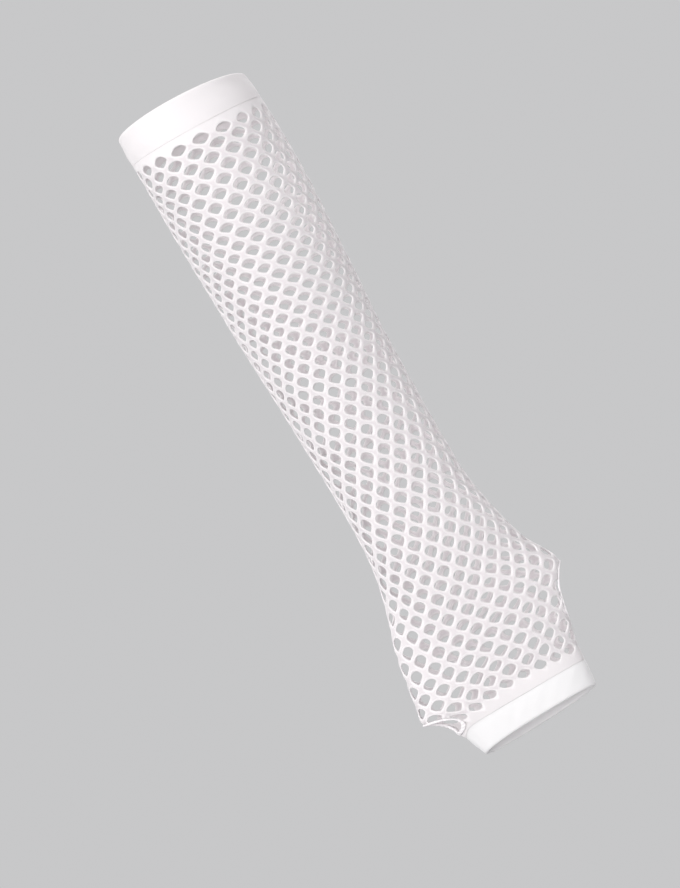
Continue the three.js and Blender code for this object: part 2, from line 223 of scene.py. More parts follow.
@dataclass
class ArmForm:
    """The glove's outer surface, as a round of knitting carried down the arm.

    Attributes:
        joints: Where the net meets the band, at each end.
        rims: Where each band is folded.
        dip_turn: Where the finger joint dips under the little finger's hole.
        dip_depth: How far it dips.
        dip_turns: The dip's half-width, as a share of the way round.
        slope_turn: How far each way round the glove its slope is measured, as a share of the way round.
        slope_down: How far each way along the arm it is measured.
        downs: The heights that are measured, evenly spaced.
        angles: The angles that are measured at each.
        arcs: The way round to each angle, by height and angle.
        turned: The angle at each even share of the way round, by height and share.
    """

    joints: dict[End, float] = field(default_factory=lambda: {End.ELBOW: 13.6, End.FINGERS: 319.9})
    rims: dict[End, float] = field(default_factory=lambda: {End.ELBOW: 0.0, End.FINGERS: 333.9})
    dip_turn: float = 0.75
    dip_depth: float = 4.2
    dip_turns: float = 0.05
    slope_turn: float = 0.004
    slope_down: float = 0.5
    downs: Floats = field(default_factory=lambda: np.arange(-12.0, 346.0, 1.0))
    angles: Floats = field(default_factory=lambda: np.linspace(0, WHOLE_TURN, 1441))
    arcs: Floats = field(init=False)
    turned: Floats = field(init=False)

    def __post_init__(self) -> None:
        """Measures the way round at every height, and the angle at every share of it."""
        x, y = self.outline(SECTIONS.at(self.downs)[:, None, :], self.angles[None, :])
        steps = np.hypot(np.diff(x, axis=1), np.diff(y, axis=1))
        self.arcs = np.hstack([np.zeros((len(self.downs), 1)), np.cumsum(steps, axis=1)])
        shares = self.arcs / self.arcs[:, -1:]
        even = np.linspace(0, 1, len(self.angles))
        self.turned = np.array([np.interp(even, share, self.angles) for share in shares])

    @staticmethod
    def outline(section: Floats, angle: Floats) -> tuple[Floats, Floats]:
        """Gives the points of a cross-section's outline.

        Formula: a superellipse. x is the middle plus half the width times sin(angle) to the power 2/square,
        and y is minus the depth times cos(angle) to the same power, each with its sign kept.

        Args:
            section: The section table's columns.
            angle: The angle from the middle of the back toward the thumb.

        Returns:
            x and y in millimetres.
        """
        left, right, back, palm, square, _, _ = np.moveaxis(section, -1, 0)
        across, deep = np.sin(angle), np.cos(angle)
        power = 2 / square
        x = (left + right) / 2 + (right - left) / 2 * np.sign(across) * np.abs(across) ** power
        y = -np.where(deep > 0, back, palm) * np.sign(deep) * np.abs(deep) ** power
        return x, y

    def angle(self, turn: Floats, down: Floats) -> Floats:
        """Gives the angle at a share of the way round, where equal shares are equal lengths of cloth.

        Formula: the measured table of angles, read between its four nearest entries.

        Args:
            turn: The share of the way round.
            down: The height.

        Returns:
            The angle from the middle of the back.
        """
        row = np.clip((down - self.downs[0]) / (self.downs[1] - self.downs[0]), 0, len(self.downs) - 1)
        column = (turn - np.floor(turn)) * (len(self.angles) - 1)
        low = np.minimum(row.astype(int), len(self.downs) - 2)
        left = np.minimum(column.astype(int), len(self.angles) - 2)
        up, side = row - low, column - left
        above = (1 - side) * self.turned[low, left] + side * self.turned[low, left + 1]
        below = (1 - side) * self.turned[low + 1, left] + side * self.turned[low + 1, left + 1]
        return (1 - up) * above + up * below

    def girth(self, down: Floats) -> Floats:
        """Gives the way round at a height, in millimetres."""
        return np.interp(down, self.downs, self.arcs[:, -1])

    def edge_turn(self, edge: Edge, down: Floats) -> Floats:
        """Gives the turn at which an edge of the glove lies, a quarter or three quarters of the angle."""
        quarter = (len(self.angles) - 1) // 4 * (1 if edge is Edge.THUMB else 3)
        return np.interp(down, self.downs, self.arcs[:, quarter] / self.arcs[:, -1])

    def surface(self, turn: Floats, down: Floats) -> Floats:
        """Gives points of the outer surface: the outline at that height, with z equal to minus down."""
        x, y = self.outline(SECTIONS.at(down), self.angle(turn, down))
        return np.stack([x, y, -down], axis=-1)

    def lifted(self, turn: Floats, down: Floats, lift: Floats) -> Floats:
        """Gives points that stand clear of the outer surface.

        Formula: the surface's point plus lift times the outward normal, which is the slope along the arm
        crossed with the slope round it, each measured across a short step.

        Args:
            turn: The share of the way round.
            down: The height.
            lift: The distance outside the surface, negative inside it.

        Returns:
            The points in millimetres.
        """
        around = self.surface(turn + self.slope_turn, down) - self.surface(turn - self.slope_turn, down)
        along = self.surface(turn, down + self.slope_down) - self.surface(turn, down - self.slope_down)
        outward = np.cross(along, around)
        outward /= np.linalg.norm(outward, axis=-1, keepdims=True)
        return self.surface(turn, down) + outward * np.asarray(lift)[..., None]

    def row_down(self, turn: Floats, down: Floats) -> Floats:
        """Gives where a row of knitting lies at a place round the glove.

        Formula: down less bow times cos(angle), plus slope times half the width times sin(angle).

        Args:
            turn: The share of the way round.
            down: The row's own height.

        Returns:
            The height there.
        """
        left, right, *_, bow, slope = np.moveaxis(SECTIONS.at(down), -1, 0)
        angle = self.angle(turn, down)
        half_width = (right - left) / 2
        return down - bow * np.cos(angle) + slope * half_width * np.sin(angle)

    def joint_down(self, end: End, turn: Floats) -> Floats:
        """Gives where the net meets a band.

        Formula: the joint's row, and at the fingers a bell-shaped dip under the little finger's hole.

        Args:
            end: The band's end of the net.
            turn: The share of the way round.

        Returns:
            The height there.
        """
        down = self.row_down(turn, np.full_like(turn, self.joints[end]))
        if end is End.ELBOW:
            return down
        away = (turn - np.floor(turn) - self.dip_turn) / self.dip_turns
        return down + self.dip_depth * np.exp(-(away**2))

    def rim_down(self, end: End, turn: Floats) -> Floats:
        """Gives where a band is folded."""
        return self.row_down(turn, np.full_like(turn, self.rims[end]))


@dataclass(frozen=True)
class HandHole:
    """A hole on one edge of the glove, in a flat plan whose x runs toward the palm and y toward the fingers.

    Attributes:
        edge: The edge it lies on.
        down: The height of its middle.
        half_length: Its reach each way along the arm.
        back_half: Its reach round the back of the hand.
        palm_half: Its reach round the palm.
        taper: How much narrower it is toward the fingers.
        strand: The radius of the strand round it.
        slope_angle: The angle each way across which its outline's slope is measured.
        bearings: How many directions its outline is measured in.
    """

    edge: Edge
    down: float
    half_length: float
    back_half: float
    palm_half: float
    taper: float
    strand: float
    slope_angle: float = 0.01
    bearings: int = 721

    def rim(self, angle: Floats, grow: Floats) -> tuple[Floats, Floats]:
        """Gives the hole's outline in its plan.

        Formula: x is the half-width on that side times sin(angle) times one less taper times cos(angle), and
        y is the half-length times cos(angle). Both then move out by grow, square to the outline.

        Args:
            angle: The angle round the hole, from its end toward the fingers.
            grow: The distance outside the outline.

        Returns:
            x and y in millimetres.
        """
        x, y = self._bare(angle)
        after_x, after_y = self._bare(angle + self.slope_angle)
        before_x, before_y = self._bare(angle - self.slope_angle)
        along_x, along_y = after_x - before_x, after_y - before_y
        size = np.hypot(along_x, along_y)
        return x - along_y / size * grow, y + along_x / size * grow

    def _bare(self, angle: Floats) -> tuple[Floats, Floats]:
        """Gives the outline before it is grown."""
        half = np.where(np.sin(angle) > 0, self.palm_half, self.back_half)
        return half * np.sin(angle) * (1 - self.taper * np.cos(angle)), self.half_length * np.cos(angle)

    def place(self, form: ArmForm, x: Floats, y: Floats) -> tuple[Floats, Floats]:
        """Gives a plan point's turn, the edge's plus x over the way round, and its height, down plus y."""
        down = self.down + y
        return form.edge_turn(self.edge, down) + self.edge.value * x / form.girth(down), down

    def plan(self, form: ArmForm, turn: Floats, down: Floats) -> tuple[Floats, Floats]:
        """Gives the plan point of a place on the glove, which is place() the other way round."""
        away = (turn - form.edge_turn(self.edge, down) + 0.5) % 1 - 0.5
        return self.edge.value * away * form.girth(down), down - self.down

    def push_out(self, form: ArmForm, turn: Floats, down: Floats) -> tuple[Floats, Floats, Flags]:
        """Moves the places that lie in the hole out to the net's cut edge.

        Formula: straight out from the hole's middle in its plan, to the distance in that direction of the
        outline grown by the strand's radius.

        Args:
            form: The glove's surface.
            turn: The places' turns.
            down: Their heights.

        Returns:
            The new turns and heights, and which places were moved.
        """
        rim_angle = np.linspace(0, WHOLE_TURN, self.bearings)
        rim_x, rim_y = self.rim(rim_angle, np.full(self.bearings, self.strand))
        bearing = np.arctan2(rim_y, rim_x)
        order = np.argsort(bearing)
        x, y = self.plan(form, turn, down)
        reach = np.interp(np.arctan2(y, x), bearing[order], np.hypot(rim_x, rim_y)[order], period=WHOLE_TURN)
        distance = np.hypot(x, y)
        inside = distance < reach
        stretch = reach / np.maximum(distance, np.finfo(float).eps)
        out_turn, out_down = self.place(form, x * stretch, y * stretch)
        return np.where(inside, out_turn, turn), np.where(inside, out_down, down), inside


THUMB_HOLE = HandHole(
    edge=Edge.THUMB, down=287.9, half_length=14.2, back_half=7.4, palm_half=10.6, taper=0.42, strand=0.55
)
LITTLE_FINGER_HOLE = HandHole(
    edge=Edge.LITTLE_FINGER, down=314.8, half_length=5.9, back_half=14.5, palm_half=8, taper=0.15, strand=0.7
)


def new_object(name: str, data: bpy.types.ID) -> bpy.types.Object:
    """Makes an object and puts it in the scene.

    Args:
        name: The object's name.
        data: Its mesh, light or camera.

    Returns:
        The new object, at the origin.
    """
    made = bpy.data.objects.new(name, data)
    bpy.context.scene.collection.objects.link(made)
    return made


@dataclass
class Cloth:
    """A piece's mesh before it goes to Blender: points in metres, and faces of three or four corners.

    Attributes:
        points: The corners' places.
        faces: Groups of faces with equal numbers of corners.
        uvs: For each group, the cloth coordinates at each face's corners.
        slots: For each group, the number of its material.
    """

    points: Floats
    faces: list[Ints]
    uvs: list[Floats]
    slots: list[int]

    def volume(self) -> float:
        """Gives the volume inside.

        Formula: a sixth of the sum of the triangles' triple products.

        Returns:
            The volume, negative where the faces point inward.
        """
        total = 0.0
        for group in self.faces:
            for corner in range(1, group.shape[1] - 1):
                first, second, third = (self.points[group[:, k]] for k in (0, corner, corner + 1))
                total += float(np.einsum("ij,ij->", first, np.cross(second, third))) / 6
        return total

    def without_spares(self) -> "Cloth":
        """Leaves out the points that no face has.

        Returns:
            The same cloth, with its other points in the same order.
        """
        every_corner = np.concatenate([group.ravel() for group in self.faces])
        used, corners = np.unique(every_corner, return_inverse=True)
        ends = np.cumsum([group.size for group in self.faces])[:-1]
        faces = [part.reshape(group.shape) for part, group in zip(np.split(corners, ends), self.faces)]
        return Cloth(self.points[used], faces, self.uvs, self.slots)

    def to_object(self, name: str, materials: tuple[bpy.types.Material, ...]) -> bpy.types.Object:
        """Makes the Blender object, with its faces outward and its shading smooth.

        Args:
            name: The object's name.
            materials: Its materials, in the order of their numbers.

        Returns:
            The new object, at the origin.
        """
        faces, uvs = self.faces, self.uvs
        if self.volume() < 0:
            faces, uvs = [group[:, ::-1] for group in faces], [group[:, ::-1] for group in uvs]
        corners = np.concatenate([group.ravel() for group in faces])
        sizes = np.concatenate([np.full(len(group), group.shape[1]) for group in faces])
        slots = np.concatenate([np.full(len(group), slot) for group, slot in zip(faces, self.slots)])
        mesh = bpy.data.meshes.new(name)
        mesh.vertices.add(len(self.points))
        mesh.vertices.foreach_set("co", self.points.astype(np.float32).ravel())
        mesh.loops.add(len(corners))
        mesh.loops.foreach_set("vertex_index", corners.astype(np.int32))
        mesh.polygons.add(len(sizes))
        mesh.polygons.foreach_set("loop_start", (np.cumsum(sizes) - sizes).astype(np.int32))
        mesh.update(calc_edges=True)
        mesh.polygons.foreach_set("material_index", slots.astype(np.int32))
        mesh.polygons.foreach_set("use_smooth", np.ones(len(sizes), dtype=bool))
        layer = mesh.uv_layers.new(name=CLOTH_UV)
        layer.data.foreach_set("uv", np.concatenate([group.reshape(-1) for group in uvs]).astype(np.float32))
        for material in materials:
            mesh.materials.append(material)
        mesh.update()
        return new_object(name, mesh)


def closed(grid: NDArray) -> NDArray:
    """Repeats a grid's first column after its last, so that its rows come back to where they began."""
    return np.concatenate([grid, grid[..., :1]], axis=-1)


def grid_corners(grid: NDArray) -> NDArray:
    """Gives a grid's values at the four corners of each of its faces.

    Args:
        grid: One value for each point, with the grid's rows and columns last.

    Returns:
        The values in order round each face, with the corners last, and one row and one column less.
    """
    near, far = grid[..., :-1, :], grid[..., 1:, :]
    return np.stack([near[..., :-1], near[..., 1:], far[..., 1:], far[..., :-1]], axis=-1)


def ring_cloth(points: Floats, across: float, along: Floats, closed_uv: float) -> Cloth:
    """Joins a closed grid of points, a profile carried round a loop, as a closed tube.

    Args:
        points: The grid in millimetres, with the profile's points first and the loop's second.
        across: The cloth coordinate u for one whole way round the loop.
        along: The cloth coordinate v at each of the profile's points.
        closed_uv: The coordinate v where the profile comes back to its first point.

    Returns:
        The closed tube of four-cornered faces.
    """
    profile, loop = points.shape[:2]
    numbers = closed(np.arange(profile * loop).reshape(profile, loop))
    corners = grid_corners(np.vstack([numbers, numbers[:1]])).reshape(-1, 4)
    u, v = np.meshgrid(np.arange(loop + 1) * across / loop, np.append(along, closed_uv))
    uv = np.stack([grid_corners(u), grid_corners(v)], axis=-1).reshape(-1, 4, 2)
    return Cloth(points.reshape(-1, 3) * MM, [corners], [uv], [0])


@dataclass(frozen=True)
class Fibres:
    """The soft fibres that stand out of a yarn.

    Attributes:
        waves: How many lie on a metre.
        smooth: The roughness of the smoothest place.
        fuzz: How much rougher the roughest place is.
        height: Their share of the surface's height. The stitches have the rest.
        sheen: The weight of their sheen.
        sheen_roughness: Its roughness.
    """

    waves: float
    smooth: float
    fuzz: float
    height: float
    sheen: float = 0.25
    sheen_roughness: float = 0.5


class Wiring:
    """One material's nodes, with short ways to join them.

    Attributes:
        FIBRE_DETAIL: How many finer layers the fibres' noise has.
        DRIFT_SHARE: How much of the other colour a drifting colour takes at most.
    """

    FIBRE_DETAIL: ClassVar[float] = 2
    DRIFT_SHARE: ClassVar[float] = 0.12

    def __init__(self, name: str) -> None:
        """Starts a material with only its shader.

        Args:
            name: The material's name.
        """
        self.material = bpy.data.materials.new(name)
        self.material.use_nodes = True
        self.nodes = self.material.node_tree.nodes
        self.links = self.material.node_tree.links
        self.shader = self.nodes["Principled BSDF"]

    def join(self, source: Socket | Colour | float, target: Socket) -> None:
        """Links a socket to a target, or gives the target a number or a colour.

        Args:
            source: What the target gets.
            target: The input that gets it.
        """
        if isinstance(source, Socket):
            self.links.new(source, target)
        else:
            target.default_value = source

    def sum(self, kind: Sum, *terms: Socket | float) -> Socket:
        """Adds one step of arithmetic.

        Args:
            kind: What the step does.
            terms: What it does it with.

        Returns:
            Its result.
        """
        node = self.nodes.new("ShaderNodeMath")
        node.operation = kind.value
        for term, target in zip(terms, node.inputs):
            self.join(term, target)
        return node.outputs[0]

    def line(self, value: Socket, factor: float, base: float) -> Socket:
        """Gives value times factor, plus base."""
        return self.sum(Sum.ADD, self.sum(Sum.MULTIPLY, value, factor), base)

    def wave(self, phase: Socket) -> Socket:
        """Gives a wave from 0 to 1: half of one plus the sine of phase times a whole turn."""
        return self.line(self.sum(Sum.SINE, self.sum(Sum.MULTIPLY, phase, WHOLE_TURN)), 0.5, 0.5)

    def fade(self, value: Socket, low: float, high: float) -> Socket:
        """Gives a smooth step from 0 to 1.

        Args:
            value: What decides where on the step a place is.
            low: The value up to which it is 0.
            high: The value from which it is 1.

        Returns:
            The step.
        """
        node = self.nodes.new("ShaderNodeMapRange")
        node.interpolation_type = "SMOOTHSTEP"
        self.join(value, node.inputs["Value"])
        self.join(low, node.inputs["From Min"])
        self.join(high, node.inputs["From Max"])
        return node.outputs["Result"]

    def blend(self, share: Socket, low: Socket | Colour, high: Colour) -> Socket:
        """Mixes two colours.

        Args:
            share: The second one's share.
            low: The first colour.
            high: The second colour.

        Returns:
            The mixed colour.
        """
        node = self.nodes.new("ShaderNodeMix")
        node.data_type = "RGBA"
        factor, first, second = (node.inputs[k] for k in (0, 6, 7))
        for source, target in ((share, factor), (low, first), (high, second)):
            self.join(source, target)
        return node.outputs[2]

    def noise(self, waves: float, detail: float) -> Socket:
        """Adds noise on Object coordinates.

        Args:
            waves: Its scale, in waves a metre.
            detail: How many finer layers it has.

        Returns:
            The noise, about 0 to 1.
        """
        place = self.nodes.new("ShaderNodeTexCoord")
        node = self.nodes.new("ShaderNodeTexNoise")
        self.join(waves, node.inputs["Scale"])
        self.join(detail, node.inputs["Detail"])
        self.join(place.outputs["Object"], node.inputs["Vector"])
        return node.outputs["Fac"]

    def cloth_uv(self) -> tuple[Socket, Socket]:
        """Reads the piece's own cloth coordinates.

        Returns:
            u and v.
        """
        node = self.nodes.new("ShaderNodeUVMap")
        node.uv_map = CLOTH_UV
        parts = self.nodes.new("ShaderNodeSeparateXYZ")
        self.join(node.outputs["UV"], parts.inputs["Vector"])
        return parts.outputs["X"], parts.outputs["Y"]

    def shaded_in_creases(self, colour: Socket | Colour, raised: Socket, crease_shade: Colour, share: float) -> Socket:
        """Paints shade into the creases: share times one less raised is the painted shade's part of it."""
        deep = self.sum(Sum.MULTIPLY, self.sum(Sum.SUBTRACT, 1.0, raised), share)
        return self.blend(deep, colour, crease_shade)

    def drifting(self, colour: Socket, other: Colour, waves: float, detail: float) -> Socket:
        """Lets a colour drift slowly toward another, by noise times DRIFT_SHARE."""
        share = self.sum(Sum.MULTIPLY, self.noise(waves, detail), self.DRIFT_SHARE)
        return self.blend(share, colour, other)

    def finish(self, colour: Socket, stitches: Socket, relief: float, fibres: Fibres) -> bpy.types.Material:
        """Ends a yarn's material.

        Formula: the roughness is the smooth one plus fuzz times the fibres' noise, and the height is the
        stitches' and the noise by their shares.

        Args:
            colour: The surface's colour.
            stitches: The stitches' height, from 0 to 1.
            relief: What a height of 1 is, in metres.
            fibres: The yarn's fibres.

        Returns:
            The material.
        """
        noise = self.noise(fibres.waves, self.FIBRE_DETAIL)
        stitches_part = self.sum(Sum.MULTIPLY, stitches, 1 - fibres.height)
        fibres_part = self.sum(Sum.MULTIPLY, noise, fibres.height)
        bump = self.nodes.new("ShaderNodeBump")
        self.join(1.0, bump.inputs["Strength"])
        self.join(relief, bump.inputs["Distance"])
        self.join(self.sum(Sum.ADD, stitches_part, fibres_part), bump.inputs["Height"])
        self.join(colour, self.shader.inputs["Base Color"])
        self.join(self.line(noise, fibres.fuzz, fibres.smooth), self.shader.inputs["Roughness"])
        self.join(bump.outputs["Normal"], self.shader.inputs["Normal"])
        self.join(fibres.sheen, self.shader.inputs["Sheen Weight"])
        self.join(fibres.sheen_roughness, self.shader.inputs["Sheen Roughness"])
        return self.material


@dataclass(frozen=True)
class NetFinish:
    """The net's yarn: a bright raised row of stitches round each hole, and painted shade that greys the
    hollows between them.

    Attributes:
        name: The material's name.
        raised: The colour of the raised stitches.
        hollow: The painted shade colour between them, which the slow change of tone also drifts toward.
        crease_shade: The painted shade colour deep between two stitches.
        crease_shade_share: How much of that painted shade shows there.
        hollow_shade_from: How far from a hole's edge the painted shade of the hollow begins.
        hollow_shade_to: How far from it the painted shade has its full colour.
        drift_waves: The slow change of tone, in waves a metre.
        drift_detail: How many finer layers it has.
        stitch_slant: How far a stitch leans for each millimetre across the yarn.
        relief: The stitches' height in metres.
        fibres: The yarn's fibres.
    """

    name: str = "net_yarn"
    raised: Colour = (0.95, 0.92, 0.926, 1)
    hollow: Colour = (0.82, 0.775, 0.79, 1)
    crease_shade: Colour = (0.64, 0.58, 0.60, 1)
    crease_shade_share: float = 0.3
    hollow_shade_from: float = 0.45
    hollow_shade_to: float = 1.5
    drift_waves: float = 45
    drift_detail: float = 2
    stitch_slant: float = 1.1
    relief: float = 0.00016
    fibres: Fibres = Fibres(waves=5200, smooth=0.68, fuzz=0.2, height=0.25)

    def material(self) -> bpy.types.Material:
        """Makes the material from cloth coordinates.

        Formula: u counts stitches round a hole and v is millimetres from its edge. A stitch is a wave along
        u, which leans with v.

        Returns:
            The material.
        """
        wires = Wiring(self.name)
        u, v = wires.cloth_uv()
        stitch = wires.wave(wires.sum(Sum.ADD, u, wires.sum(Sum.MULTIPLY, v, self.stitch_slant)))
        # Painted shade: greyer from the raised rim toward the hollow between holes, by the distance from the
        # hole's edge.
        colour = wires.blend(wires.fade(v, self.hollow_shade_from, self.hollow_shade_to), self.raised, self.hollow)
        # Painted shade deep between the stitches.
        colour = wires.shaded_in_creases(colour, stitch, self.crease_shade, self.crease_shade_share)
        colour = wires.drifting(colour, self.hollow, self.drift_waves, self.drift_detail)
        return wires.finish(colour, stitch, self.relief, self.fibres)


@dataclass(frozen=True)
class JerseyFinish:
    """Plain knit: upright rows of V-shaped stitches.

    Attributes:
        name: The material's name.
        raised: The yarn's colour.
        crease_shade: The painted shade colour between the stitches.
        crease_shade_share: How much of that painted shade shows there.
        drift_waves: The slow change of tone, in waves a metre.
        drift_detail: How many finer layers it has.
        stitch_slant: How far a stitch's leg falls toward the middle of its row, in stitches.
        leg_rise: How much higher the middle of a leg is than its ends.
        relief: The stitches' height in metres.
        fibres: The yarn's fibres.
    """

    name: str
    raised: Colour
    crease_shade: Colour
    crease_shade_share: float = 0.28
    drift_waves: float = 30
    drift_detail: float = 3
    stitch_slant: float = 0.8
    leg_rise: float = 0.6
    relief: float = 0.00013
    fibres: Fibres = Fibres(waves=5200, smooth=0.75, fuzz=0.15, height=0.2)

    def material(self) -> bpy.types.Material:
        """Makes the material from cloth coordinates.

        Formula: u counts upright rows, and v counts stitches along them. A leg lies halfway between a row's
        middle and its side, so its height falls with the distance from there, and along the leg it falls
        toward both ends of the stitch.

        Returns:
            The material.
        """
        wires = Wiring(self.name)
        u, v = wires.cloth_uv()
        from_middle = wires.sum(Sum.SIZE_OF, wires.sum(Sum.SUBTRACT, wires.sum(Sum.FRACTION, u), 0.5))
        across = wires.wave(wires.sum(Sum.SUBTRACT, wires.sum(Sum.MULTIPLY, from_middle, 2.0), 0.25))
        along = wires.wave(wires.sum(Sum.ADD, v, wires.sum(Sum.MULTIPLY, from_middle, 2 * self.stitch_slant)))
        loop = wires.sum(Sum.MULTIPLY, across, wires.line(along, self.leg_rise, 1 - self.leg_rise))
        # Painted shade between the stitches, where the loops are low.
        colour = wires.shaded_in_creases(self.raised, loop, self.crease_shade, self.crease_shade_share)
        colour = wires.drifting(colour, self.crease_shade, self.drift_waves, self.drift_detail)
        return wires.finish(colour, loop, self.relief, self.fibres)


@dataclass(frozen=True)
class StrandFinish:
    """The strand round a hand hole: two plies of smooth yarn.

    Attributes:
        name: The material's name.
        raised: The plies' colour.
        crease_shade: The painted shade colour between the plies.
        crease_shade_share: How much of that painted shade shows there.
        plies: How many plies it has.
        filaments: How many filaments show round it.
        relief: The filaments' height in metres.
        fibres: The yarn's fibres.
    """

    name: str = "edge_strand"
    raised: Colour = (0.95, 0.92, 0.93, 1)
    crease_shade: Colour = (0.68, 0.63, 0.66, 1)
    crease_shade_share: float = 0.35
    plies: float = 2
    filaments: float = 8
    relief: float = 0.00008
    fibres: Fibres = Fibres(waves=4200, smooth=0.6, fuzz=0.2, height=0.4, sheen=0.2, sheen_roughness=0.4)

    def material(self) -> bpy.types.Material:
        """Makes the material from cloth coordinates.

        Formula: u counts turns of the ply and v goes once round it. Plies and filaments are waves round the
        strand, which turn with u.

        Returns:
            The material.
        """
        wires = Wiring(self.name)
        u, v = wires.cloth_uv()
        ply, filament = (
            wires.wave(wires.sum(Sum.SUBTRACT, wires.sum(Sum.MULTIPLY, v, count), u))
            for count in (self.plies, self.filaments)
        )
        # Painted shade in the groove between the two plies.
        colour = wires.shaded_in_creases(self.raised, ply, self.crease_shade, self.crease_shade_share)
        return wires.finish(colour, filament, self.relief, self.fibres)


@dataclass(frozen=True)
class FloorFinish:
    """A matt pale floor.

    Attributes:
        name: The material's name.
        light: Its paler colour.
        dark: Its darker colour.
        waves: Its slow change of tone, in waves a metre.
        detail: How many finer layers that has.
        roughness: Its roughness.
    """

    name: str = "floor_paper"
    light: Colour = (0.46, 0.46, 0.465, 1)
    dark: Colour = (0.43, 0.43, 0.435, 1)
    waves: float = 3
    detail: float = 2
    roughness: float = 0.9

    def material(self) -> bpy.types.Material:
        """Makes the material, with a slow change of tone.

        Returns:
            The material.
        """
        wires = Wiring(self.name)
        tone = wires.blend(wires.noise(self.waves, self.detail), self.light, self.dark)
        wires.join(tone, wires.shader.inputs["Base Color"])
        wires.join(self.roughness, wires.shader.inputs["Roughness"])
        return wires.material


@dataclass(frozen=True)
class Ripple:
    """A small wave round the glove, because no knitting is quite even.

    Attributes:
        size: How far it reaches each way.
        waves: How many there are on the way round.
        lean: How far they turn on for each unit of along, in radians.
    """

    size: float
    waves: int
    lean: float

    def at(self, turn: Floats, along: Floats) -> Floats:
        """Gives the wave: size times the sine of the waves' angle at turn plus lean times along."""
        return self.size * np.sin(WHOLE_TURN * self.waves * turn + self.lean * along)


@dataclass
class Piece:
    """A piece of the glove, which stands for a CAD node.

    Attributes:
        form: The glove's surface.
        name: The object's name.
        node: The CAD node that it stands for.
        slot: The name of the record's material slot for it, which nothing in this script reads.
    """

    form: ArmForm
    name: str
    node: str
    slot: ClassVar[str]

    def cloth(self) -> Cloth:
        """Works out the mesh, in each kind of piece's own way."""
        raise NotImplementedError

    def build(self, *materials: bpy.types.Material) -> bpy.types.Object:
        """Makes the piece and dresses it.

        Args:
            materials: Its materials, in the order of their numbers.

        Returns:
            The piece's object.
        """
        made = self.cloth().to_object(self.name, materials)
        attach(made, "root")
        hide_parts(self.node)
        return made


@dataclass
class FlatNet:
    """The net as one layer on its lattice, before it is laid on the arm.

    Attributes:
        column: Each point's column.
        row: Each point's half-row.
        cells: The faces round the holes, of four corners.
        cell_uv: Their cloth coordinates, by face and corner.
        plain: The faces of plain knit, those of four corners and those of three.
        at_hole: Which points lie on the edge of one of the net's own holes.
        at_band: Which points lie where the net ends at a band.
        hollow: How far each point lies under the raised stitches.
    """

    column: Floats
    row: Floats
    cells: Ints
    cell_uv: Floats
    plain: list[Ints]
    at_hole: Flags
    at_band: Flags
    hollow: Floats


